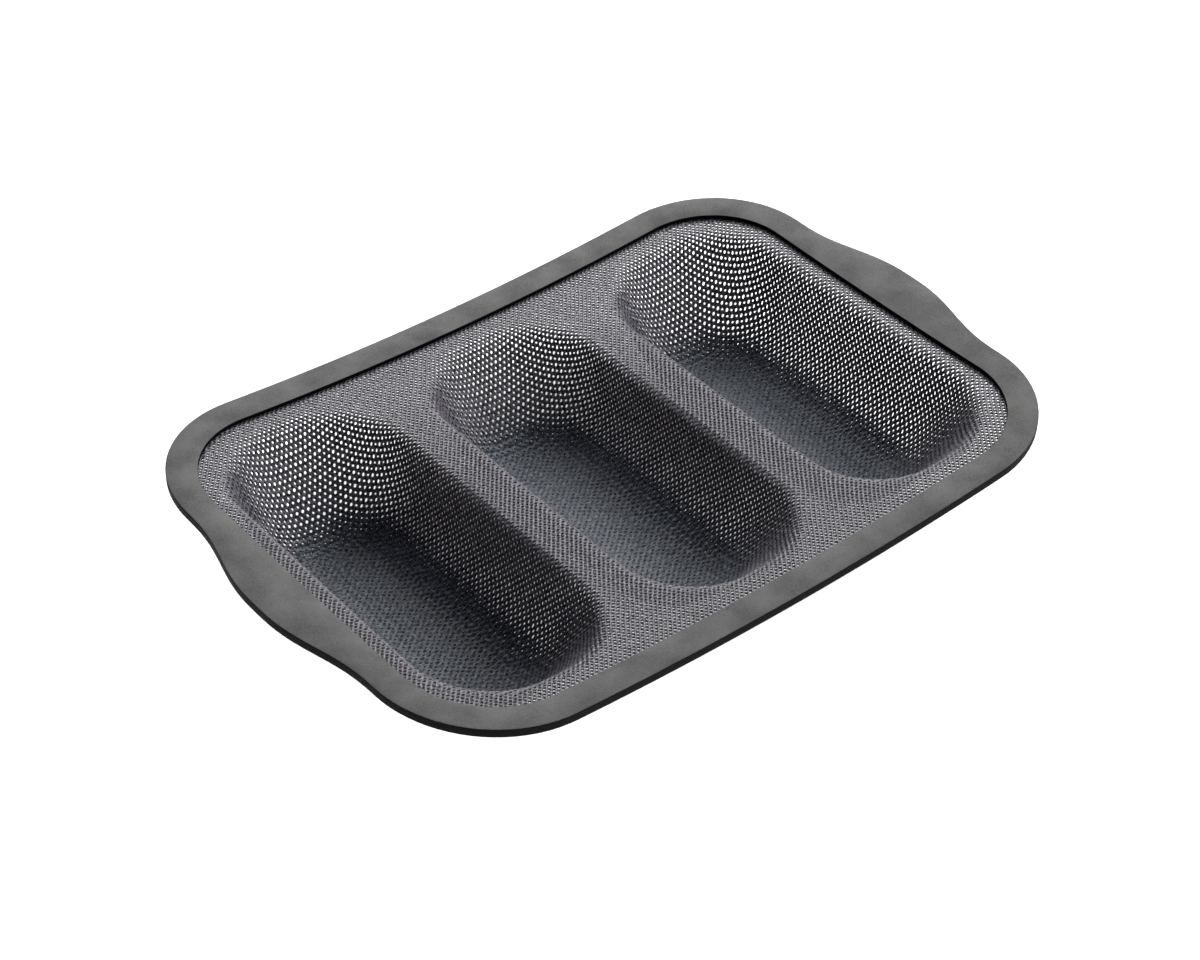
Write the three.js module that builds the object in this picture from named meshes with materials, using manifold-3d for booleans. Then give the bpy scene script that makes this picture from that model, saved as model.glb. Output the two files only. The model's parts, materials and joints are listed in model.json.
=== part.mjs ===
// Baguette tray: a soft silicone frame around a moulded net with three loaf troughs.
// A steel wire ring stiffens the frame from inside. Units are millimetres, +Z is up.
// The origin is on the surface the tray stands on, under the middle of the tray.
// X runs along the tray from handle to handle, Y runs along the troughs.

import * as THREE from 'three';
import { mergeVertices } from 'three/addons/utils/BufferGeometryUtils.js';
import Module from 'manifold-3d';

const wasm = await Module();
wasm.setup();

// ---- driving dimensions -------------------------------------------------------------------

// Outline of the frame, without the handles
const HALF_LENGTH = 173;
const HALF_WIDTH = 122.5;
const CORNER_RADIUS = 55.8;

// Frame section
const RIM_WIDTH = 13.7;
const RIM_THICKNESS = 4.5;
const EDGE_BREAK = 0.4;
const OUTER_BOTTOM_ROUND = 1.8;
const ROUND_STEPS = 3;
const HANDLE_REACH = 9.9;

// The whole tray is bowed a little, like a very shallow bowl: height = BOW_X x^2 + BOW_Y y^2
const BOW_X = 0.000355;
const BOW_Y = 0.000162;

// Net
const NET_THICKNESS = 1.0;
const NET_BELOW_RIM_TOP = 2.0;
const NET_GRIP = 5.0;
const NET_EDGE_CLEARANCE = 0.5;

// Troughs, measured where the wall and the flat net would meet if the lip was sharp
const TROUGH_PITCH = 107.5;
const TROUGH_DEPTH = 40;
const TROUGH_HALF_WIDTH = 42;
const TROUGH_HALF_LENGTH = 97.5;
const CORNER_TO_WIDTH = 0.89;
const SIDE_DRAFT = 15;
const END_DRAFT = 40;
const FLOOR_RADIUS = 30;
const LIP_DEPTH = 4;
const LIP_REACH = 4.6;

// Reinforcing ring, its channel in the frame and the holes left by the pins that held it
const WIRE_RADIUS = 1.2;
const WIRE_FROM_OUTER_EDGE = 4.6;
const CLEARANCE = 0.3;
const PIN_HOLE_RADIUS = 1.1;
const PIN_HOLE_X = 60;
const PIN_HOLE_SIDES = 12;

// Steps along the curves
const CORNER_STEPS = 8;
const SHORT_SIDE_STEPS = 16;
const LONG_SIDE_STEPS = 10;
const WIRE_SIDES = 8;
const TROUGH_SIDE_STEPS = 3;
const TROUGH_CORNER_STEPS = 6;
const TROUGH_LEVELS = [0, 1, 4, 11, 18, 24, 30, 35, 38.5, 40];

// Height of the net's upper face and of the frame's top face over the origin
const NET_HEIGHT = TROUGH_DEPTH + NET_THICKNESS;
const RIM_HEIGHT = NET_HEIGHT + NET_BELOW_RIM_TOP;

// ---- shared curves ------------------------------------------------------------------------

function bow(x, y) {
  return BOW_X * x * x + BOW_Y * y * y;
}

function smootherstep(t) {
  const s = Math.min(Math.max(t, 0), 1);
  return s * s * s * (s * (6 * s - 15) + 10);
}

// One station of the frame: the inner edge point, the outward direction and the local width.
function station(x, y, outX, outY) {
  const halfSpan = HALF_WIDTH - CORNER_RADIUS;
  const handle = outY === 0 ? HANDLE_REACH * smootherstep(1 - Math.abs(y) / halfSpan) : 0;
  return {
    x: x - outX * RIM_WIDTH,
    y: y - outY * RIM_WIDTH,
    outX,
    outY,
    width: RIM_WIDTH + handle,
  };
}

// Stations once around the rounded rectangle, anticlockwise, starting on the +X side.
function frameStations() {
  const straightX = HALF_LENGTH - CORNER_RADIUS;
  const straightY = HALF_WIDTH - CORNER_RADIUS;
  const quarterTurns = [[1, 0], [0, 1], [-1, 0], [0, -1]];
  const stations = [];
  quarterTurns.forEach(([outX, outY], side) => {
    const alongX = -outY;
    const alongY = outX;
    const half = outX === 0 ? straightX : straightY;
    const steps = outX === 0 ? LONG_SIDE_STEPS : SHORT_SIDE_STEPS;
    for (let i = 0; i < steps; i += 1) {
      const t = half * (2 * i / steps - 1);
      stations.push(station(outX * HALF_LENGTH + alongX * t, outY * HALF_WIDTH + alongY * t, outX, outY));
    }
    const centreX = (outX + alongX) * straightX;
    const centreY = (outY + alongY) * straightY;
    for (let i = 0; i < CORNER_STEPS; i += 1) {
      const angle = (side + i / CORNER_STEPS) * Math.PI / 2;
      const c = i === 0 ? outX : Math.cos(angle);
      const s = i === 0 ? outY : Math.sin(angle);
      stations.push(station(centreX + CORNER_RADIUS * c, centreY + CORNER_RADIUS * s, c, s));
    }
  });
  return stations;
}

// A point of the frame's section: out from the inner edge, and up from the top face.
function framePoint(at, out, up) {
  const x = at.x + at.outX * out;
  const y = at.y + at.outY * out;
  return new THREE.Vector3(x, y, RIM_HEIGHT + bow(x, y) + up);
}

// ---- mesh helpers -------------------------------------------------------------------------

function geometryFrom(points, triangles) {
  const geometry = new THREE.BufferGeometry();
  geometry.setAttribute('position', new THREE.Float32BufferAttribute(points.flatMap((p) => p.toArray()), 3));
  geometry.setIndex(triangles);
  return geometry;
}

// A closed ring: one section per station, each section an anticlockwise loop of [out, up] pairs.
function ringGeometry(sectionAt) {
  const stations = frameStations();
  const sections = stations.map((at) => sectionAt(at).map(([out, up]) => framePoint(at, out, up)));
  const size = sections[0].length;
  const triangles = [];
  sections.forEach((section, i) => {
    const here = i * size;
    const next = ((i + 1) % sections.length) * size;
    for (let j = 0; j < size; j += 1) {
      const k = (j + 1) % size;
      triangles.push(here + j, next + j, next + k, here + j, next + k, here + k);
    }
  });
  return geometryFrom(sections.flat(), triangles);
}

function toManifold(geometry) {
  const bare = geometry.clone();
  bare.deleteAttribute('normal');
  bare.deleteAttribute('uv');
  const merged = mergeVertices(bare, 1e-4);
  return new wasm.Manifold(new wasm.Mesh({
    numProp: 3,
    vertProperties: new Float32Array(merged.attributes.position.array),
    triVerts: new Uint32Array(merged.index.array),
  }));
}

function fromManifold(solid) {
  const mesh = solid.getMesh();
  const geometry = new THREE.BufferGeometry();
  geometry.setAttribute('position', new THREE.BufferAttribute(mesh.vertProperties, 3));
  geometry.setIndex(new THREE.BufferAttribute(mesh.triVerts, 1));
  return geometry;
}

// Gives an open surface a thickness below it. Where the surface is level, so is its underside.
function thicken(surface, thickness) {
  const top = mergeVertices(surface, 1e-3);
  top.computeVertexNormals();
  const position = top.attributes.position;
  const count = position.count;
  const points = [];
  for (let i = 0; i < count; i += 1) points.push(new THREE.Vector3().fromBufferAttribute(position, i));
  const lowest = Math.min(...points.map((p) => p.z));
  for (let i = 0; i < count; i += 1) {
    const normal = new THREE.Vector3().fromBufferAttribute(top.attributes.normal, i);
    if (points[i].z < lowest + 1e-3) normal.set(0, 0, 1);
    points.push(points[i].clone().addScaledVector(normal, -thickness));
  }
  const index = Array.from(top.index.array);
  const edges = new Set();
  for (let t = 0; t < index.length; t += 3) {
    for (let e = 0; e < 3; e += 1) edges.add(`${index[t + e]}_${index[t + (e + 1) % 3]}`);
  }
  const triangles = [...index];
  for (let t = 0; t < index.length; t += 3) {
    triangles.push(index[t] + count, index[t + 2] + count, index[t + 1] + count);
    for (let e = 0; e < 3; e += 1) {
      const a = index[t + e];
      const b = index[t + (e + 1) % 3];
      if (!edges.has(`${b}_${a}`)) triangles.push(b, a, a + count, b, a + count, b + count);
    }
  }
  return geometryFrom(points, triangles);
}

// ---- silicone frame -----------------------------------------------------------------------

function rimSection(at) {
  const slotTop = -NET_BELOW_RIM_TOP + CLEARANCE;
  const slotFloor = -NET_BELOW_RIM_TOP - NET_THICKNESS - CLEARANCE;
  const slotEnd = NET_GRIP + NET_EDGE_CLEARANCE;
  const outer = [];
  for (let i = 0; i <= ROUND_STEPS; i += 1) {
    const angle = -Math.PI / 2 * (1 - i / ROUND_STEPS);
    const out = at.width - OUTER_BOTTOM_ROUND * (1 - Math.cos(angle));
    outer.push([out, -RIM_THICKNESS + OUTER_BOTTOM_ROUND * (1 + Math.sin(angle))]);
  }
  return [
    [0, slotFloor],
    [0, -RIM_THICKNESS + EDGE_BREAK],
    [EDGE_BREAK, -RIM_THICKNESS],
    ...outer,
    [at.width, -EDGE_BREAK],
    [at.width - EDGE_BREAK, 0],
    [EDGE_BREAK, 0],
    [0, -EDGE_BREAK],
    [0, slotTop],
    [slotEnd, slotTop],
    [slotEnd, slotFloor],
  ];
}

function circleSection(at, radius) {
  const centre = at.width - WIRE_FROM_OUTER_EDGE;
  const loop = [];
  for (let i = 0; i < WIRE_SIDES; i += 1) {
    const angle = 2 * Math.PI * (i + 0.5) / WIRE_SIDES;
    loop.push([centre + radius * Math.cos(angle), -RIM_THICKNESS / 2 + radius * Math.sin(angle)]);
  }
  return loop;
}

// Small round holes in the underside, up to the wire: two on each side, one on each handle.
function pinHoles() {
  const sideY = HALF_WIDTH - WIRE_FROM_OUTER_EDGE;
  const endX = HALF_LENGTH + HANDLE_REACH - WIRE_FROM_OUTER_EDGE;
  const places = [[endX, 0], [-endX, 0]];
  for (const x of [PIN_HOLE_X, -PIN_HOLE_X]) places.push([x, sideY], [x, -sideY]);
  return places.map(([x, y]) => {
    const hole = new THREE.CylinderGeometry(PIN_HOLE_RADIUS, PIN_HOLE_RADIUS, RIM_THICKNESS, PIN_HOLE_SIDES);
    hole.rotateX(Math.PI / 2);
    hole.translate(x, y, RIM_HEIGHT + bow(x, y) - RIM_THICKNESS);
    return hole;
  });
}

function siliconeRim() {
  const channel = ringGeometry((at) => circleSection(at, WIRE_RADIUS + CLEARANCE));
  let solid = toManifold(ringGeometry(rimSection)).subtract(toManifold(channel));
  for (const hole of pinHoles()) solid = solid.subtract(toManifold(hole));
  return fromManifold(solid);
}

// ---- reinforcing ring ---------------------------------------------------------------------

function rimWire() {
  return ringGeometry((at) => circleSection(at, WIRE_RADIUS));
}

// ---- net with three troughs ---------------------------------------------------------------

// How far a trough's wall is from the trough's middle at a depth: a rounded lip, a straight
// wall with draft, then an arc that runs out level on the floor.
function wallAt(edge, draftDegrees, depth) {
  const draft = THREE.MathUtils.degToRad(draftDegrees);
  const turn = Math.PI / 2 - draft;
  const arcDepth = TROUGH_DEPTH - FLOOR_RADIUS * (1 - Math.cos(turn));
  if (depth < LIP_DEPTH) {
    const u = Math.sqrt(depth / LIP_DEPTH);
    return edge + LIP_REACH * (1 - u) ** 2 - depth * Math.tan(draft);
  }
  if (depth < arcDepth) return edge - depth * Math.tan(draft);
  const arcEnd = edge - arcDepth * Math.tan(draft);
  const angle = Math.acos(1 - (TROUGH_DEPTH - depth) / FLOOR_RADIUS);
  return arcEnd - FLOOR_RADIUS * (Math.sin(turn) - Math.sin(angle));
}

// One quarter of a rounded rectangle, from the middle of its +X side to the middle of its +Y side.
function quarterOutline(halfX, halfY, radius) {
  const quarter = [];
  for (let i = 0; i < TROUGH_SIDE_STEPS; i += 1) quarter.push([halfX, (halfY - radius) * i / TROUGH_SIDE_STEPS]);
  for (let i = 0; i <= TROUGH_CORNER_STEPS; i += 1) {
    const angle = Math.PI / 2 * i / TROUGH_CORNER_STEPS;
    quarter.push([halfX - radius + radius * Math.cos(angle), halfY - radius + radius * Math.sin(angle)]);
  }
  quarter.push([0, halfY]);
  return quarter;
}

// The same number of points on the edge of a trough's share of the net. Towards the next trough
// the edge is a straight line at half the pitch, and towards a handle it is the net's own edge.
function quarterEdge(towardsHandle) {
  const inset = RIM_WIDTH - NET_GRIP;
  const netHalfLength = HALF_LENGTH - inset;
  const netHalfWidth = HALF_WIDTH - inset;
  if (towardsHandle) return quarterOutline(netHalfLength - TROUGH_PITCH, netHalfWidth, CORNER_RADIUS - inset);
  const halfPitch = TROUGH_PITCH / 2;
  const radius = TROUGH_HALF_WIDTH * CORNER_TO_WIDTH;
  const lip = quarterOutline(TROUGH_HALF_WIDTH, TROUGH_HALF_LENGTH, radius);
  return lip.map(([x, y], i) => {
    const step = i - TROUGH_SIDE_STEPS;
    if (step <= 0) return [halfPitch, y];
    if (step === TROUGH_CORNER_STEPS / 2) return [halfPitch, netHalfWidth];
    if (step >= TROUGH_CORNER_STEPS) return [x, netHalfWidth];
    const angle = Math.PI / 2 * step / TROUGH_CORNER_STEPS;
    const toSide = (halfPitch - x) / Math.cos(angle);
    const toEnd = (netHalfWidth - y) / Math.sin(angle);
    const reach = Math.min(toSide, toEnd);
    return [x + reach * Math.cos(angle), y + reach * Math.sin(angle)];
  });
}

// A full loop from a quarter towards +X and a quarter towards -X, mirrored in Y.
function fullLoop(right, left) {
  const upper = [...right, ...left.slice(0, -1).reverse().map(([x, y]) => [-x, y])];
  const lower = upper.slice(1, -1).reverse().map(([x, y]) => [x, -y]);
  return [...upper, ...lower];
}

// The net's upper face around one trough, as rings of points from its edge down to its floor.
function troughSurface(middleX, rightIsHandle, leftIsHandle) {
  const place = ([x, y], depth) => {
    const share = depth / TROUGH_DEPTH;
    const level = NET_HEIGHT + bow(middleX + x, y);
    return new THREE.Vector3(middleX + x, y, level * (1 - share) + NET_THICKNESS * share);
  };
  const edge = fullLoop(quarterEdge(rightIsHandle), quarterEdge(leftIsHandle));
  const rings = [edge.map((p) => place(p, 0))];
  for (const depth of TROUGH_LEVELS) {
    const halfX = wallAt(TROUGH_HALF_WIDTH, SIDE_DRAFT, depth);
    const halfY = wallAt(TROUGH_HALF_LENGTH, END_DRAFT, depth);
    const quarter = quarterOutline(halfX, halfY, halfX * CORNER_TO_WIDTH);
    rings.push(fullLoop(quarter, quarter).map((p) => place(p, depth)));
  }
  const size = edge.length;
  const triangles = [];
  for (let r = 0; r + 1 < rings.length; r += 1) {
    for (let i = 0; i < size; i += 1) {
      const a = r * size + i;
      const b = r * size + (i + 1) % size;
      triangles.push(a, b, b + size, a, b + size, a + size);
    }
  }
  const points = rings.flat();
  const floorMiddle = points.length;
  points.push(new THREE.Vector3(middleX, 0, NET_THICKNESS));
  const floorRing = (rings.length - 1) * size;
  for (let i = 0; i < size; i += 1) triangles.push(floorRing + i, floorRing + (i + 1) % size, floorMiddle);
  return { points, triangles };
}

function meshLiner() {
  const points = [];
  const triangles = [];
  const troughs = [[-TROUGH_PITCH, false, true], [0, false, false], [TROUGH_PITCH, true, false]];
  for (const [middleX, rightIsHandle, leftIsHandle] of troughs) {
    const share = troughSurface(middleX, rightIsHandle, leftIsHandle);
    triangles.push(...share.triangles.map((index) => index + points.length));
    points.push(...share.points);
  }
  return thicken(geometryFrom(points, triangles), NET_THICKNESS);
}

// ---- assembly -----------------------------------------------------------------------------

function part(name, geometry, material) {
  const mesh = new THREE.Mesh(geometry, material);
  mesh.name = name;
  return mesh;
}

const silicone = new THREE.MeshStandardMaterial({ color: 0x6a6a6b, roughness: 0.72, metalness: 0 });
const coatedNet = new THREE.MeshStandardMaterial({ color: 0x6f737c, roughness: 0.5, metalness: 0 });
const steel = new THREE.MeshStandardMaterial({ color: 0xb8bcc0, roughness: 0.3, metalness: 1 });

const tray = new THREE.Group();
tray.name = 'baguette_tray';
tray.add(part('silicone_rim', siliconeRim(), silicone));
tray.add(part('rim_wire', rimWire(), steel));
tray.add(part('mesh_liner', meshLiner(), coatedNet));

export default tray;
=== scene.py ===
import json
import math

import bpy
import numpy as np
from mathutils import Matrix, Vector

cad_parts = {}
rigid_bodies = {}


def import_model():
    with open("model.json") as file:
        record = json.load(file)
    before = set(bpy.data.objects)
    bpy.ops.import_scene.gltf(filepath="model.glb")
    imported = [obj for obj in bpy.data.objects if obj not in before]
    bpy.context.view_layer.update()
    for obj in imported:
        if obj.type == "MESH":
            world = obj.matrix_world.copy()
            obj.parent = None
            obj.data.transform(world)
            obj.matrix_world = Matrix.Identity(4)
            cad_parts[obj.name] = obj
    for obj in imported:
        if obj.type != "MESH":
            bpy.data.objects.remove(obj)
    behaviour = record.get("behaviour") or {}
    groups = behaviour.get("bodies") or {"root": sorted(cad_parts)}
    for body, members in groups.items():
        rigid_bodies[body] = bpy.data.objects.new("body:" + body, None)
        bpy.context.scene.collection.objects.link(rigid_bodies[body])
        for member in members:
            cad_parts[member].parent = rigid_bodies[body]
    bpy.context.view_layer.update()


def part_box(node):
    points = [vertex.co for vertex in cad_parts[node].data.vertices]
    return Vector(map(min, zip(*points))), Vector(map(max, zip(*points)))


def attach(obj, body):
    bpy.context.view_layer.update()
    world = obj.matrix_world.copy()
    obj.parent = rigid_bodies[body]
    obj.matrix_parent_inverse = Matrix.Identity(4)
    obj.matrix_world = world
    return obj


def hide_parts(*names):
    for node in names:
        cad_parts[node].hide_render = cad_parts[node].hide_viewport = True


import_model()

# ---- sizes in millimetres: the outer ones from the CAD nodes, the others as the CAD has them ----

_, rim_high = (np.array(corner) * 1000 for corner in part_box("silicone_rim"))
_, net_high = (np.array(corner) * 1000 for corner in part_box("mesh_liner"))

# Silicone frame. Heights are those at the tray's middle, and the bow lifts the rest.
HANDLE_REACH = 9.9
HALF_LENGTH = rim_high[0] - HANDLE_REACH
HALF_WIDTH = rim_high[1]
CORNER_RADIUS = 55.8
RIM_WIDTH = 13.7
RIM_THICKNESS = 4.5
RIM_HEIGHT = 43.0
BOW_X = 0.000355
BOW_Y = 0.000162
SLOT_TOP = -1.7
SLOT_FLOOR = -3.3
SLOT_DEPTH = 5.5
LOWER_INNER_ROUND = 0.4
LOWER_OUTER_ROUND = 0.7
UPPER_OUTER_ROUND = 0.5
UPPER_INNER_ROUND = 0.35

# Channel of the steel ring, and the holes of the pins that held the ring in the mould
WIRE_FROM_OUTER_EDGE = 4.6
CHANNEL_RADIUS = 1.5
PIN_HOLE_RADIUS = 1.1
PIN_HOLE_X = 60.0
PIN_START_BELOW = 2

# Net and its troughs
NET_THICKNESS = 1.0
NET_HEIGHT = 41.0
TROUGH_PITCH = 107.5
TROUGH_DEPTH = 40.0
TROUGH_HALF_WIDTH = 42.0
TROUGH_HALF_LENGTH = 97.5
CORNER_TO_WIDTH = 0.89
SIDE_DRAFT = 15.0
END_DRAFT = 40.0
FLOOR_RADIUS = 30.0
LIP_DEPTH = 4.0
LIP_REACH = 4.6


def bow(x, y):
    return BOW_X * x * x + BOW_Y * y * y


def smootherstep(t):
    s = np.clip(t, 0.0, 1.0)
    return s * s * s * (s * (6 * s - 15) + 10)


def new_object(name, points, loops, sizes, smooth=True):
    """A mesh object from points in millimetres, a flat array of corners and the corner counts."""
    mesh = bpy.data.meshes.new(name)
    metres = (np.asarray(points, np.float64) * 0.001).astype(np.float32)
    mesh.vertices.add(len(points))
    mesh.vertices.foreach_set("co", metres.ravel())
    loops = np.asarray(loops, np.int32).ravel()
    sizes = np.asarray(sizes, np.int32)
    starts = np.concatenate([[0], np.cumsum(sizes)[:-1]]).astype(np.int32)
    mesh.loops.add(len(loops))
    mesh.loops.foreach_set("vertex_index", loops)
    mesh.polygons.add(len(sizes))
    mesh.polygons.foreach_set("loop_start", starts)
    mesh.polygons.foreach_set("loop_total", sizes)
    mesh.polygons.foreach_set("use_smooth", np.full(len(sizes), smooth))
    mesh.update(calc_edges=True)
    mesh.validate()
    made = bpy.data.objects.new(name, mesh)
    bpy.context.scene.collection.objects.link(made)
    return made


# ---- materials ----------------------------------------------------------------------------------

# Noise scales are per metre
BROAD_MOTTLE = {"Scale": 60.0, "Detail": 3.0}
FINE_MOTTLE = {"Scale": 1600.0, "Detail": 2.0}
BROAD_WEIGHT = 1.4
MOTTLE_RANGE = {"From Min": 0.85, "From Max": 1.55}
SPECKLE = {"Scale": 1050.0, "Detail": 1.0}
SPECKLE_RANGE = {"From Min": 0.3, "From Max": 0.7, "To Min": 0.1, "To Max": 2.1}
# Heights in metres between which the floors' darker colour, a painted shade in the troughs, gives
# way to the flat net's
FLOOR_SHADE_HEIGHTS = {"From Min": 0.006, "From Max": 0.018}
# Attribute of the net's points for painted shade: 1 on the strands, less inside the holes and on
# the underside, where it darkens the colour
HOLE_SHADE_ATTRIBUTE = "painted_hole_shade"


def new_material(name):
    material = bpy.data.materials.new(name)
    material.use_nodes = True
    tree = material.node_tree
    return material, tree, tree.nodes["Principled BSDF"]


def add_node(tree, kind, inputs={}, **settings):
    """A shader node. Its settings come first, because they decide which inputs it has."""
    node = tree.nodes.new("ShaderNode" + kind)
    for name, value in settings.items():
        setattr(node, name, value)
    for name, value in inputs.items():
        node.inputs[name].default_value = value
    return node


def mottled(name, dark, light, roughness, specular):
    """A moulded surface with fine and broad mottling between two colours."""
    material, tree, shader = new_material(name)
    coordinates = add_node(tree, "TexCoord")
    broad = add_node(tree, "TexNoise", BROAD_MOTTLE)
    fine = add_node(tree, "TexNoise", FINE_MOTTLE)
    add = add_node(tree, "Math", {1: BROAD_WEIGHT}, operation="MULTIPLY_ADD")
    ramp = add_node(tree, "MapRange", MOTTLE_RANGE)
    mix = add_node(tree, "Mix", {"A": (*dark, 1), "B": (*light, 1)}, data_type="RGBA")
    link = tree.links.new
    link(coordinates.outputs["Object"], broad.inputs["Vector"])
    link(coordinates.outputs["Object"], fine.inputs["Vector"])
    link(broad.outputs["Fac"], add.inputs[0])
    link(fine.outputs["Fac"], add.inputs[2])
    link(add.outputs[0], ramp.inputs["Value"])
    link(ramp.outputs["Result"], mix.inputs["Factor"])
    link(mix.outputs["Result"], shader.inputs["Base Color"])
    shader.inputs["Roughness"].default_value = roughness
    shader.inputs["Specular IOR Level"].default_value = specular
    return material


def plain(name, colour, roughness, specular, metallic=0.0):
    material, _, shader = new_material(name)
    shader.inputs["Base Color"].default_value = (*colour, 1)
    shader.inputs["Roughness"].default_value = roughness
    shader.inputs["Specular IOR Level"].default_value = specular
    shader.inputs["Metallic"].default_value = metallic
    return material


def coated(name, flat_colour, shaded_floor_colour, roughness, specular):
    """The net's coating: one colour on the flat net and a darker, bluer one low in the troughs,
    whose darkness is painted shade, finely uneven, with painted shade darkening the holes.
    """
    material, tree, shader = new_material(name)
    coordinates = add_node(tree, "TexCoord")
    split = add_node(tree, "SeparateXYZ")
    height = add_node(tree, "MapRange", FLOOR_SHADE_HEIGHTS)
    colours = {"A": (*shaded_floor_colour, 1), "B": (*flat_colour, 1)}
    mix = add_node(tree, "Mix", colours, data_type="RGBA")
    speckle = add_node(tree, "TexNoise", SPECKLE)
    strength = add_node(tree, "MapRange", SPECKLE_RANGE)
    # Painted shade: the point attribute darkens the colour inside the holes and on the underside
    painted_hole_shade = add_node(tree, "Attribute", attribute_name=HOLE_SHADE_ATTRIBUTE)
    speckle_and_hole_shade = add_node(tree, "Math", operation="MULTIPLY")
    scale = add_node(tree, "VectorMath", operation="SCALE")
    link = tree.links.new
    link(coordinates.outputs["Object"], split.inputs[0])
    link(split.outputs["Z"], height.inputs["Value"])
    link(height.outputs["Result"], mix.inputs["Factor"])
    link(coordinates.outputs["Object"], speckle.inputs["Vector"])
    link(speckle.outputs["Fac"], strength.inputs["Value"])
    link(mix.outputs["Result"], scale.inputs[0])
    link(strength.outputs["Result"], speckle_and_hole_shade.inputs[0])
    link(painted_hole_shade.outputs["Fac"], speckle_and_hole_shade.inputs[1])
    link(speckle_and_hole_shade.outputs[0], scale.inputs["Scale"])
    link(scale.outputs["Vector"], shader.inputs["Base Color"])
    shader.inputs["Roughness"].default_value = roughness
    shader.inputs["Specular IOR Level"].default_value = specular
    return material


GRAIN_DARK = (0.066, 0.066, 0.0655)
GRAIN_LIGHT = (0.134, 0.134, 0.1325)
NET_FLAT_COLOUR = (0.100, 0.095, 0.112)
# The floor colour is darker than the flat net's as painted shade in the troughs
NET_SHADED_FLOOR_COLOUR = (0.057, 0.067, 0.086)
silicone_top = mottled("silicone_grain", GRAIN_DARK, GRAIN_LIGHT, 0.55, 0.05)
# Painted shade: the frame's sides are the same silicone, coloured near-black
silicone_shaded_side = plain("silicone_side_painted_shade", (0.004, 0.004, 0.004), 0.6, 0.03)
net_coating = coated("net_coating", NET_FLAT_COLOUR, NET_SHADED_FLOOR_COLOUR, 0.38, 0.25)
steel = plain("drawn_steel", (0.62, 0.63, 0.64), 0.3, 0.5, 1.0)

# ---- silicone frame -----------------------------------------------------------------------------

# How many stations each stretch of the frame's outline has
LONG_STEPS = 60
CORNER_STEPS = 20
SHORT_STEPS = 56
CHANNEL_SIDES = 24
# Faces that point up at least this much are the grained top; all others get the near-black side
# material, a painted shade
TOP_NORMAL_Z = 0.8
SHARP_ANGLE = 40


def frame_stations():
    """Points and outward directions once round the frame's outline, and the handle's reach."""
    straight = np.array([HALF_LENGTH - CORNER_RADIUS, HALF_WIDTH - CORNER_RADIUS])
    edges, outs, reaches = [], [], []
    for side, out in enumerate([(1, 0), (0, 1), (-1, 0), (0, -1)]):
        has_handle = out[1] == 0
        out = np.array(out, float)
        along = np.array([-out[1], out[0]])
        half = straight[1] if has_handle else straight[0]
        steps = SHORT_STEPS if has_handle else LONG_STEPS
        for i in range(steps):
            t = half * (2 * i / steps - 1)
            handle = float(smootherstep(1 - abs(t) / half)) if has_handle else 0.0
            edges.append(out * [HALF_LENGTH, HALF_WIDTH] + along * t)
            outs.append(out)
            reaches.append(HANDLE_REACH * handle)
        centre = (out + along) * straight
        for i in range(CORNER_STEPS):
            angle = (side + i / CORNER_STEPS) * math.pi / 2
            turn = np.array([math.cos(angle), math.sin(angle)])
            edges.append(centre + turn * CORNER_RADIUS)
            outs.append(turn)
            reaches.append(0.0)
    return np.array(edges), np.array(outs), np.array(reaches)


def ring_points(section):
    """One loop of points per station. section(width) gives pairs of the distance out from the
    frame's inner edge and the height over its top face."""
    loops = []
    for edge, out, reach in zip(*stations):
        pairs = np.array(section(RIM_WIDTH + reach))
        across = edge - out * RIM_WIDTH + pairs[:, :1] * out
        up = RIM_HEIGHT + bow(across[:, 0], across[:, 1]) + pairs[:, 1]
        loops.append(np.c_[across, up])
    return np.array(loops)


def arc(centre, radius, start, end, steps):
    angles = np.radians(np.linspace(start, end, steps + 1))
    return [(centre[0] + radius * math.cos(a), centre[1] + radius * math.sin(a)) for a in angles]


def rim_section(width):
    """The frame's section, anticlockwise, with the slot for the net in its inner wall."""
    bottom = -RIM_THICKNESS
    a, b = LOWER_INNER_ROUND, LOWER_OUTER_ROUND
    c, d = UPPER_OUTER_ROUND, UPPER_INNER_ROUND
    return [
        (0.0, SLOT_FLOOR),
        *arc((a, bottom + a), a, 180, 270, 3),
        *arc((width - b, bottom + b), b, 270, 360, 6),
        *arc((width - c, -c), c, 0, 90, 4),
        *arc((d, -d), d, 90, 180, 3),
        (0.0, SLOT_TOP),
        (SLOT_DEPTH, SLOT_TOP),
        (SLOT_DEPTH, SLOT_FLOOR),
    ]


def channel_section(width):
    centre = (width - WIRE_FROM_OUTER_EDGE, -RIM_THICKNESS / 2)
    return arc(centre, CHANNEL_RADIUS, 0, 360 - 360 / CHANNEL_SIDES, CHANNEL_SIDES - 1)


def ring_object(name, section):
    points = ring_points(section)
    count, size = points.shape[:2]
    here = np.arange(count)[:, None] * size
    there = np.roll(here, -1, axis=0)
    j = np.arange(size)[None, :]
    k = (j + 1) % size
    quads = np.stack([here + j, there + j, there + k, here + k], axis=-1).reshape(-1, 4)
    return new_object(name, points.reshape(-1, 3), quads, np.full(len(quads), 4))


def cylinder(name, centre, radius, low, high, sides=24):
    angles = 2 * np.pi * np.arange(sides) / sides
    circle = np.c_[centre[0] + radius * np.cos(angles), centre[1] + radius * np.sin(angles)]
    points = np.r_[np.c_[circle, np.full(sides, low)], np.c_[circle, np.full(sides, high)]]
    loops, sizes = [], []
    for i in range(sides):
        k = (i + 1) % sides
        loops += [i, k, k + sides, i + sides]
        sizes.append(4)
    loops += list(range(sides))[::-1] + list(range(sides, 2 * sides))
    sizes += [sides, sides]
    return new_object(name, points, loops, sizes, False)


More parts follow.
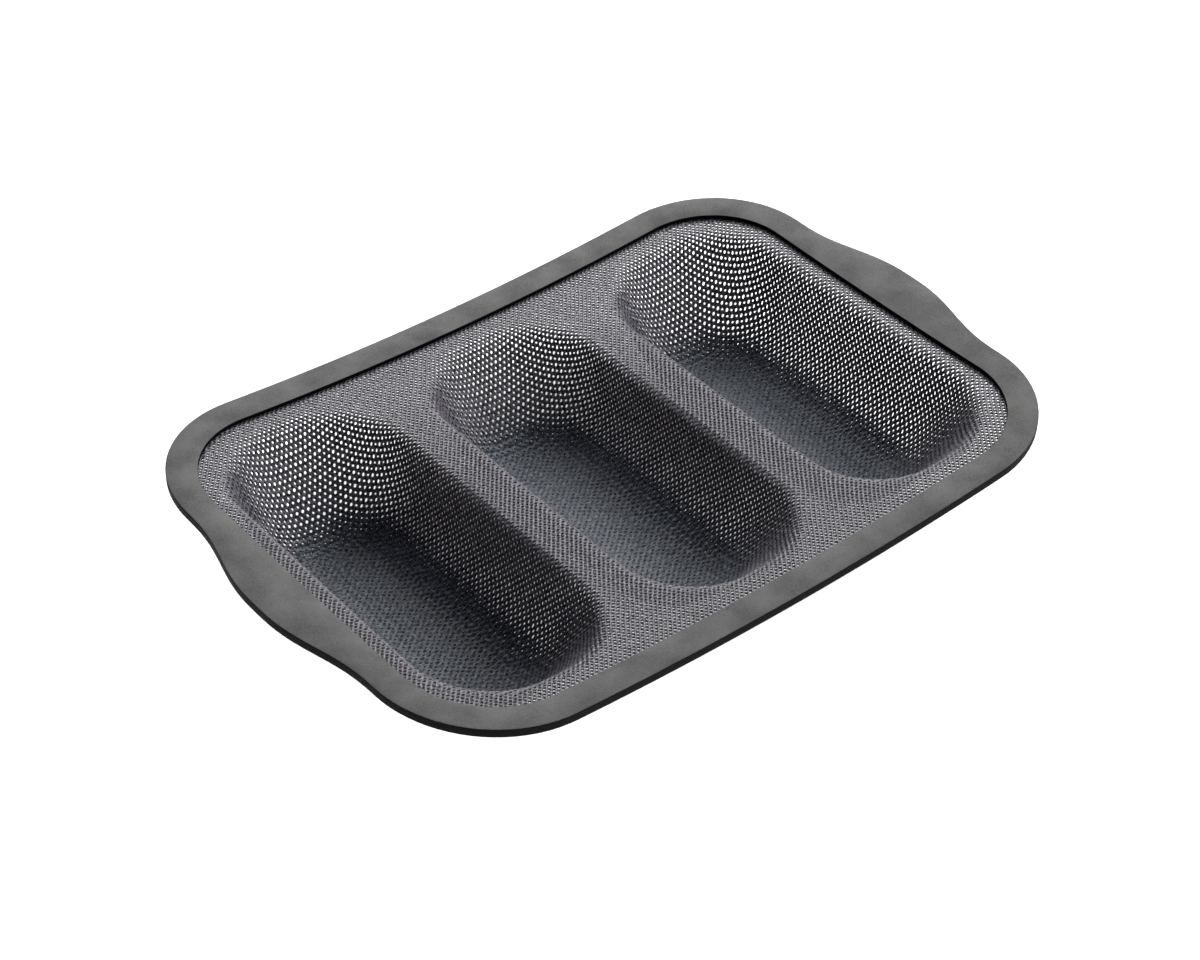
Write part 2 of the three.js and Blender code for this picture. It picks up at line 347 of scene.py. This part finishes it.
def cut_away(target, cutter):
    """Takes cutter out of target and deletes it."""
    modifier = target.modifiers.new("cut", "BOOLEAN")
    modifier.object = cutter
    modifier.solver = "EXACT"
    graph = bpy.context.evaluated_depsgraph_get()
    made = bpy.data.meshes.new_from_object(target.evaluated_get(graph))
    target.modifiers.remove(modifier)
    old, target.data = target.data, made
    bpy.data.meshes.remove(old)
    bpy.data.objects.remove(cutter, do_unlink=True)


stations = frame_stations()
rim = ring_object("silicone_frame", rim_section)
cut_away(rim, ring_object("channel", channel_section))
side_y = HALF_WIDTH - WIRE_FROM_OUTER_EDGE
end_x = HALF_LENGTH + HANDLE_REACH - WIRE_FROM_OUTER_EDGE
hole_places = [(end_x, 0), (-end_x, 0)]
hole_places += [(x, y) for x in (PIN_HOLE_X, -PIN_HOLE_X) for y in (side_y, -side_y)]
for x, y in hole_places:
    face = RIM_HEIGHT + bow(x, y) - RIM_THICKNESS
    low, high = face - PIN_START_BELOW, face + RIM_THICKNESS / 2
    cut_away(rim, cylinder("pin", (x, y), PIN_HOLE_RADIUS, low, high))
rim.data.materials.clear()
rim.data.materials.append(silicone_top)
rim.data.materials.append(silicone_shaded_side)
for polygon in rim.data.polygons:
    polygon.use_smooth = True
    polygon.material_index = 0 if polygon.normal.z > TOP_NORMAL_Z else 1
rim.data.set_sharp_from_angle(angle=math.radians(SHARP_ANGLE))

# ---- the net's surface --------------------------------------------------------------------------

# Halvings of the depth in which the surface is sought, and the depth that counts as flat net
DEPTH_HALVINGS = 24
FLAT_DEPTH = 1e-4


def wall_at(edge, draft_degrees, depth):
    """How far a trough's wall is from its middle at a depth: rounded lip, straight wall, arc."""
    draft = math.radians(draft_degrees)
    turn = math.pi / 2 - draft
    arc_depth = TROUGH_DEPTH - FLOOR_RADIUS * (1 - math.cos(turn))
    u = np.sqrt(np.clip(depth / LIP_DEPTH, 0, 1))
    straight = edge + LIP_REACH * (1 - u) ** 2 - depth * math.tan(draft)
    angle = np.arccos(np.clip(1 - (TROUGH_DEPTH - depth) / FLOOR_RADIUS, -1, 1))
    arc_end = edge - arc_depth * math.tan(draft)
    curved = arc_end - FLOOR_RADIUS * (math.sin(turn) - np.sin(angle))
    return np.where(depth < arc_depth, straight, curved)


def trough_depth(x, y):
    """Depth under the bowed net at points given from the trough's middle, found level by level."""
    low = np.zeros_like(x)
    high = np.full_like(x, TROUGH_DEPTH)
    for _ in range(DEPTH_HALVINGS):
        middle = (low + high) / 2
        half_x = wall_at(TROUGH_HALF_WIDTH, SIDE_DRAFT, middle)
        half_y = wall_at(TROUGH_HALF_LENGTH, END_DRAFT, middle)
        inside = past_rounded_box(x, y, half_x, half_y, CORNER_TO_WIDTH * half_x) < 0
        low = np.where(inside, middle, low)
        high = np.where(inside, high, middle)
    return np.where(low < FLAT_DEPTH, 0.0, (low + high) / 2)


def past_rounded_box(x, y, half_x, half_y, radius):
    """How far points lie outside a rectangle with rounded corners; inside it is negative."""
    over_x = np.abs(x) - half_x + radius
    over_y = np.abs(y) - half_y + radius
    outside = np.hypot(np.maximum(over_x, 0), np.maximum(over_y, 0))
    return outside + (np.minimum(np.maximum(over_x, over_y), 0) - radius)


def nearest_trough(x):
    """X of the middle of the trough that is nearest."""
    return np.clip(np.round(x / TROUGH_PITCH), -1, 1) * TROUGH_PITCH


def net_level(x, y):
    """Height of the net's upper face."""
    share = trough_depth(x - nearest_trough(x), y) / TROUGH_DEPTH
    return (NET_HEIGHT + bow(x, y)) * (1 - share) + NET_THICKNESS * share


# The net was flat before it was moulded. Its rows stay at their Y, and in every row the part
# over a trough is stretched evenly from lip to lip. TABLE_X[row, step] is where the flat net's
# step comes to lie.
LIP_X = TROUGH_HALF_WIDTH + LIP_REACH
LIP_Y = TROUGH_HALF_LENGTH + LIP_REACH
TABLE_COLUMNS = 374
TABLE_ROW_STEP = 0.5
TABLE_PAST_LIP = 2
LINE_SAMPLES = 1200
table_v = np.arange(0, LIP_Y + TABLE_PAST_LIP, TABLE_ROW_STEP)
table_u = np.linspace(-LIP_X, LIP_X, TABLE_COLUMNS)
line_x = np.linspace(-LIP_X, LIP_X, LINE_SAMPLES)
grid_x, grid_v = np.meshgrid(line_x, table_v)
grid_depth = trough_depth(grid_x.ravel(), grid_v.ravel()).reshape(grid_x.shape)
grid_z = NET_HEIGHT * (1 - grid_depth / TROUGH_DEPTH)
lengths = np.hypot(np.diff(grid_x, axis=1), np.diff(grid_z, axis=1))
travelled = np.concatenate([np.zeros((len(table_v), 1)), np.cumsum(lengths, axis=1)], axis=1)
TABLE_X = np.array([
    np.interp((table_u + LIP_X) / (2 * LIP_X) * row[-1], row, line_x) for row in travelled
])


def place_x(u, v):
    """X of the flat net's point (u, v) once moulded."""
    near = nearest_trough(u)
    local = u - near
    column = (np.clip(local, -LIP_X, LIP_X) + LIP_X) / (table_u[1] - table_u[0])
    row = np.abs(v) / (table_v[1] - table_v[0])
    c = np.clip(column.astype(int), 0, TABLE_X.shape[1] - 2)
    r = np.clip(row.astype(int), 0, TABLE_X.shape[0] - 2)
    fc = np.clip(column - c, 0, 1)
    fr = np.clip(row - r, 0, 1)
    upper = TABLE_X[r, c] * (1 - fc) + TABLE_X[r, c + 1] * fc
    lower = TABLE_X[r + 1, c] * (1 - fc) + TABLE_X[r + 1, c + 1] * fc
    moulded = upper * (1 - fr) + lower * fr
    over = (np.abs(local) < LIP_X) & (np.abs(v) < LIP_Y)
    return near + np.where(over, moulded, local)


def on_net(u, v):
    x = place_x(u, v)
    return np.stack([x, v, net_level(x, v)], axis=-1)


def net_normals(u, v):
    """The net's normals at flat points (u, v)."""
    e = 0.3
    along_u = on_net(u + e, v) - on_net(u - e, v)
    along_v = on_net(u, v + e) - on_net(u, v - e)
    normal = np.cross(along_u, along_v)
    return normal / np.linalg.norm(normal, axis=-1, keepdims=True)


# ---- net ----------------------------------------------------------------------------------------

# Lattice: two holes in every 2.4 x 3.0 mm cell, the second half a cell over and up
COLUMN_PITCH = 2.4
ROW_PITCH = 1.5
HALF_COLUMN = COLUMN_PITCH / 2
ROWS_EACH_WAY = 76
COLUMNS_EACH_WAY = 69
# Width of net along its edge that has no holes
SOLID_EDGE = 1.5
# Half length, half width and slant of the long axis for the two kinds of hole
HOLES = ((0.62, 0.43, 12.0), (0.46, 0.32, -38.0))
# How far above and below a hole the strands cross
CORNER_UP = 1.23

# A hole's wall goes from the strand over a shoulder and a waist down to the outlet. The shoulder
# is this far along from strand to waist, and the drops are depths. Pairs are by kind of hole.
SHOULDER = (0.6, 0.45)
SHOULDER_DROP = (-0.12, 0.22)
WAIST_DROP = (0.28, 0.33)
OUTLET_DROP = (0.58, 0.58)

# Painted shade: the share of the colour kept on the strands, on the underside and at each ring of a
# hole, darkest deep in the holes
RIDGE_SHADE_FACTOR = 1.0
UNDERSIDE_SHADE_FACTOR = 0.6
SHOULDER_SHADE_FACTOR = (0.6, 1.0)
WAIST_SHADE_FACTOR = (0.06, 0.75)
OUTLET_SHADE_FACTOR = (0.05, 0.5)

# The coating closes this share of the holes' width on the floors
FLOOR_CLOSING = 0.65
# Floors are where the net is sunk this far, and points up this much, as shares
FLOOR_START = 0.6
FLOOR_BLEND = 0.3
# Unevenness on the flat net and how much more there is on the floors: the strands' crossings
# shift sideways and rise, in millimetres, and the holes differ in size, as a share
WANDER, FLOOR_WANDER = 0.065, 0.075
RISE, FLOOR_RISE = 0.02, 0.10
MOST_RISE = 0.2
SPREAD, FLOOR_SPREAD = 0.05, 0.25
SEED = 7


def ellipse_radius(kind, direction):
    long, short, slant = HOLES[kind]
    a = direction - math.radians(slant)
    return long * short / np.hypot(short * np.cos(a), long * np.sin(a))


rows = np.arange(-ROWS_EACH_WAY, ROWS_EACH_WAY + 1)
columns = np.arange(-COLUMNS_EACH_WAY, COLUMNS_EACH_WAY + 1)
net_half_x = net_high[0]
net_half_y = net_high[1]
net_radius = CORNER_RADIUS - (HALF_WIDTH - net_high[1])
holes = []
for k in rows:
    u = columns * COLUMN_PITCH + (HALF_COLUMN if k % 2 else 0.0)
    v = np.full(len(u), k * ROW_PITCH)
    keep = past_rounded_box(u, v, net_half_x, net_half_y, net_radius) < -SOLID_EDGE
    half_columns = 2 * columns[keep] + (1 if k % 2 else 0)
    holes.append(np.c_[np.full(keep.sum(), k), half_columns])
holes = np.concatenate(holes)
row, half_column = holes[:, 0], holes[:, 1]
kind = np.where(row % 2 == 0, 0, 1)

# Corners are named by the half column and the row they belong to, so that neighbours share them
TOP, BOTTOM, UP_RIGHT, UP_LEFT = range(4)
around = [
    (BOTTOM, 1, 1), (UP_RIGHT, 0, 0), (TOP, 0, 0), (UP_LEFT, 0, 0), (BOTTOM, -1, 1),
    (TOP, -1, -1), (UP_RIGHT, -1, -1), (BOTTOM, 0, 0), (UP_LEFT, 1, -1), (TOP, 1, -1),
]
SIDES = len(around)
KEY_BASE = 1000
KEY_OFFSET = 400


def key(which, half_columns, rows_at):
    return (which * KEY_BASE + rows_at + KEY_OFFSET) * KEY_BASE + half_columns + KEY_OFFSET


corner_keys = np.stack([key(w, half_column + dc, row + dr) for w, dc, dr in around], axis=1)
names, index = np.unique(corner_keys, return_inverse=True)
index = index.reshape(corner_keys.shape)
corner_which = names // KEY_BASE**2
corner_row = (names // KEY_BASE) % KEY_BASE - KEY_OFFSET
corner_half = names % KEY_BASE - KEY_OFFSET
corner_kind = np.where(corner_row % 2 == 0, 0, 1)
corner_u = corner_half * HALF_COLUMN
corner_v = corner_row * ROW_PITCH
# A strand's middle lies so that both holes beside it keep the same width of strand
span = math.hypot(HALF_COLUMN, ROW_PITCH)
toward = math.atan2(ROW_PITCH, HALF_COLUMN)
share = np.zeros((2, 2))
for own in (0, 1):
    for lean, direction in enumerate((toward, math.pi - toward)):
        mine = ellipse_radius(own, direction)
        theirs = ellipse_radius(1 - own, direction)
        share[own, lean] = (mine + (span - mine - theirs) / 2) / span
corner_v = np.where(corner_which == TOP, corner_v + CORNER_UP, corner_v)
corner_v = np.where(corner_which == BOTTOM, corner_v - CORNER_UP, corner_v)
for which, lean, sign in ((UP_RIGHT, 0, 1), (UP_LEFT, 1, -1)):
    at = corner_which == which
    part = share[corner_kind[at], lean]
    corner_u[at] += sign * HALF_COLUMN * part
    corner_v[at] += ROW_PITCH * part


def floor_share(points, normals):
    """1 on the troughs' floors, 0 on their walls and on the flat net."""
    flat_net = NET_HEIGHT + bow(points[:, 0], points[:, 1])
    sunk = (flat_net - points[:, 2]) / TROUGH_DEPTH
    deep = smootherstep((sunk - FLOOR_START) / FLOOR_BLEND)
    return deep * smootherstep((normals[:, 2] - FLOOR_START) / FLOOR_BLEND)


generator = np.random.default_rng(SEED)
corner_floor = floor_share(on_net(corner_u, corner_v), net_normals(corner_u, corner_v))
wander = WANDER + FLOOR_WANDER * corner_floor
corner_u = corner_u + wander * generator.normal(0, 1, len(corner_u))
corner_v = corner_v + wander * generator.normal(0, 1, len(corner_v))

level = on_net(corner_u, corner_v)
normal = net_normals(corner_u, corner_v)
rise = (RISE + FLOOR_RISE * corner_floor) * generator.normal(0, 1, len(corner_u))
ridge = level + np.clip(rise, -MOST_RISE, MOST_RISE)[:, None] * normal
underside = level - NET_THICKNESS * normal

centre_u = half_column * HALF_COLUMN
centre_v = row * ROW_PITCH
hole_normal = net_normals(centre_u, centre_v)
from_centre_u = corner_u[index] - centre_u[:, None]
from_centre_v = corner_v[index] - centre_v[:, None]
bearing = np.arctan2(from_centre_v, from_centre_u)
reach = np.hypot(from_centre_u, from_centre_v)
radius = np.where(kind[:, None] == 0, ellipse_radius(0, bearing), ellipse_radius(1, bearing))
hole_centre = on_net(centre_u, centre_v)
on_floor = floor_share(hole_centre, hole_normal)
uneven = 1 + (SPREAD + FLOOR_SPREAD * on_floor) * generator.normal(0, 1, len(holes))
radius = radius * ((1 - FLOOR_CLOSING * on_floor) * uneven)[:, None]
ridge_of_hole = ridge[index]
inward = (1 - radius / reach)[..., None] * (hole_centre[:, None] - ridge_of_hole)


def by_kind(pair):
    return np.where(kind == 0, pair[0], pair[1])[:, None, None]


down = -hole_normal[:, None]
shoulder = ridge_of_hole + by_kind(SHOULDER) * inward + by_kind(SHOULDER_DROP) * down
waist = ridge_of_hole + inward + by_kind(WAIST_DROP) * down
outlet = ridge_of_hole + inward + by_kind(OUTLET_DROP) * down

n_corner, n_hole = len(ridge), len(holes)
rings = [ring.reshape(-1, 3) for ring in (shoulder, waist, outlet)]
points = np.concatenate([ridge, underside] + rings)
# Painted shade: the colour stays whole on the strands and is darkened on the underside and down the
# holes' walls
corner_shade_factors = np.repeat([RIDGE_SHADE_FACTOR, UNDERSIDE_SHADE_FACTOR], n_corner)
ring_shade_factors = [
    np.repeat(by_kind(pair), SIDES) for pair in (SHOULDER_SHADE_FACTOR, WAIST_SHADE_FACTOR, OUTLET_SHADE_FACTOR)
]
hole_shade_factors = np.concatenate([corner_shade_factors] + ring_shade_factors).astype(np.float32)


def ring_index(order):
    """Where the points of each hole's ring are: order 0 is the shoulders, 1 the waists, 2 the
    outlets."""
    first = 2 * n_corner + order * n_hole * SIDES
    return first + np.arange(n_hole)[:, None] * SIDES + np.arange(SIDES)


def band(outer, inner):
    following = (np.arange(SIDES) + 1) % SIDES
    return np.stack([outer, outer[:, following], inner[:, following], inner], axis=-1)


edge_loops = [index, ring_index(0), ring_index(1), ring_index(2), index + n_corner]
bands = [band(outer, inner) for outer, inner in zip(edge_loops, edge_loops[1:])]
quads = np.stack(bands, axis=1).reshape(n_hole, -1, 4)

# Smooth normals over the whole net, so that the pieces meet without a seam
flat = quads.reshape(-1, 4)
diagonal = points[flat[:, 2]] - points[flat[:, 0]]
other_diagonal = points[flat[:, 3]] - points[flat[:, 1]]
face_normals = np.cross(diagonal, other_diagonal)
smooth = np.zeros_like(points)
for corner in range(4):
    for axis in range(3):
        smooth[:, axis] += np.bincount(flat[:, corner], face_normals[:, axis], len(points))
smooth /= np.maximum(np.linalg.norm(smooth, axis=1, keepdims=True), 1e-12)

side = np.clip(np.round(centre_u / TROUGH_PITCH), -1, 1).astype(int)
third = np.clip(np.round(centre_v / (2 * net_half_y / 3)), -1, 1).astype(int)
SIDE_NAMES = {-1: "left", 0: "middle", 1: "right"}
THIRD_NAMES = {-1: "front", 0: "centre", 1: "back"}
net_pieces = []
for s, side_name in SIDE_NAMES.items():
    for t, third_name in THIRD_NAMES.items():
        mine = quads[(side == s) & (third == t)].reshape(-1, 4)
        used, local = np.unique(mine, return_inverse=True)
        name = f"net_{side_name}_{third_name}"
        piece = new_object(name, points[used], local, np.full(len(mine), 4))
        piece.data.normals_split_custom_set_from_vertices(smooth[used])
        # The painted shade goes onto each piece as a point attribute
        hole_shade_values = piece.data.attributes.new(HOLE_SHADE_ATTRIBUTE, "FLOAT", "POINT")
        hole_shade_values.data.foreach_set("value", hole_shade_factors[used])
        piece.data.materials.append(net_coating)
        net_pieces.append(piece)

# ---- assembly -----------------------------------------------------------------------------------

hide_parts("silicone_rim")
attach(rim, "root")
for piece in net_pieces:
    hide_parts("mesh_liner")
    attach(piece, "root")
wire = next(o for o in bpy.data.objects if o.type == "MESH" and o.name.startswith("rim_wire"))
for i in range(len(wire.material_slots)):
    wire.material_slots[i].link = "OBJECT"
    wire.material_slots[i].material = steel

# ---- floor and light ----------------------------------------------------------------------------

FLOOR_REACH = 2000
FLOOR_DROP = 0.05
floor_corners = [
    (x * FLOOR_REACH, y * FLOOR_REACH, -FLOOR_DROP) for x, y in ((-1, -1), (1, -1), (1, 1), (-1, 1))
]
floor = new_object("floor", floor_corners, [0, 1, 2, 3], [4])
floor.data.materials.append(plain("pale_floor", (0.9, 0.9, 0.9), 0.9, 0.1))

# Name, bearing in degrees from +Y towards +X, elevation in degrees, distance in metres and power
# in watts of each round softbox. The ground fills are flagged off the tray, so that they only
# whiten the ground under its near edge.
SOFTBOXES = [
    ("front_softbox", 180, 11, 2.2, 7, False),
    ("right_softbox", 120, 11, 2.2, 9, False),
    ("high_right_softbox", 85, 36, 1.8, 25, False),
    ("far_softbox", 41, 20, 2.2, 9, False),
    ("high_far_softbox", 41, 36, 1.8, 10, False),
    ("near_back_softbox", 20, 28, 1.0, 5, False),
    ("near_right_softbox", 60, 48, 1.0, 6, False),
    ("front_ground_fill", 172, 18, 2.2, 75, True),
    ("camera_ground_fill", 225, 18, 2.2, 55, True),
    ("left_ground_fill", 275, 18, 2.2, 75, True),
]
SOFTBOX_DIAMETER = 1.0
ground_only = bpy.data.collections.new("ground_only")
ground_only.objects.link(floor)
for name, bearing, elevation, distance, power, only_ground in SOFTBOXES:
    heading, lift = math.radians(bearing), math.radians(elevation)
    level_reach = math.cos(lift)
    toward = Vector((
        math.sin(heading) * level_reach, math.cos(heading) * level_reach, math.sin(lift)
    ))
    lamp = bpy.data.lights.new(name, "AREA")
    lamp.shape = "DISK"
    lamp.size = SOFTBOX_DIAMETER
    lamp.energy = power
    softbox = bpy.data.objects.new(name, lamp)
    softbox.location = toward * distance
    softbox.rotation_mode = "QUATERNION"
    softbox.rotation_quaternion = (-toward).to_track_quat("-Z", "Y")
    bpy.context.scene.collection.objects.link(softbox)
    if only_ground:
        softbox.light_linking.receiver_collection = ground_only

# The backdrop looks pale past the floor's edge and adds next to no light
WORLD_LIGHT = 0.01
BACKDROP = 0.95
world = bpy.data.worlds.new("studio")
world.use_nodes = True
background = world.node_tree.nodes["Background"]
background.inputs["Color"].default_value = (1, 1, 1, 1)
path = add_node(world.node_tree, "LightPath")
brightness = add_node(world.node_tree, "MapRange", {"To Min": WORLD_LIGHT, "To Max": BACKDROP})
world.node_tree.links.new(path.outputs["Is Camera Ray"], brightness.inputs["Value"])
world.node_tree.links.new(brightness.outputs["Result"], background.inputs["Strength"])
bpy.context.scene.world = world
bpy.context.scene.view_settings.view_transform = "Standard"

# ---- camera -------------------------------------------------------------------------------------

# Azimuth, elevation and roll in degrees, and the place in metres, fitted to the photo
CAMERA_ANGLES = (-40.34, 39.91, -1.30)
CAMERA_PLACE = (-0.5771, -0.6738, 0.7674)
azimuth, elevation, roll = (math.radians(a) for a in CAMERA_ANGLES)
back = Vector((
    math.sin(azimuth) * math.cos(elevation),
    -math.cos(azimuth) * math.cos(elevation),
    math.sin(elevation),
))
level_right = (-back).cross(Vector((0, 0, 1))).normalized()
level_down = (-back).cross(level_right)
right = level_right * math.cos(roll) + level_down * math.sin(roll)
down = level_down * math.cos(roll) - level_right * math.sin(roll)
camera_data = bpy.data.cameras.new("camera")
camera_data.sensor_width = 36.0
camera_data.lens = 78.96
camera_data.clip_start = 0.05
camera_data.clip_end = 50.0
camera = bpy.data.objects.new("camera", camera_data)
bpy.context.scene.collection.objects.link(camera)
turn = Matrix((right, -down, back)).transposed().to_4x4()
camera.matrix_world = Matrix.Translation(CAMERA_PLACE) @ turn
bpy.context.scene.camera = camera
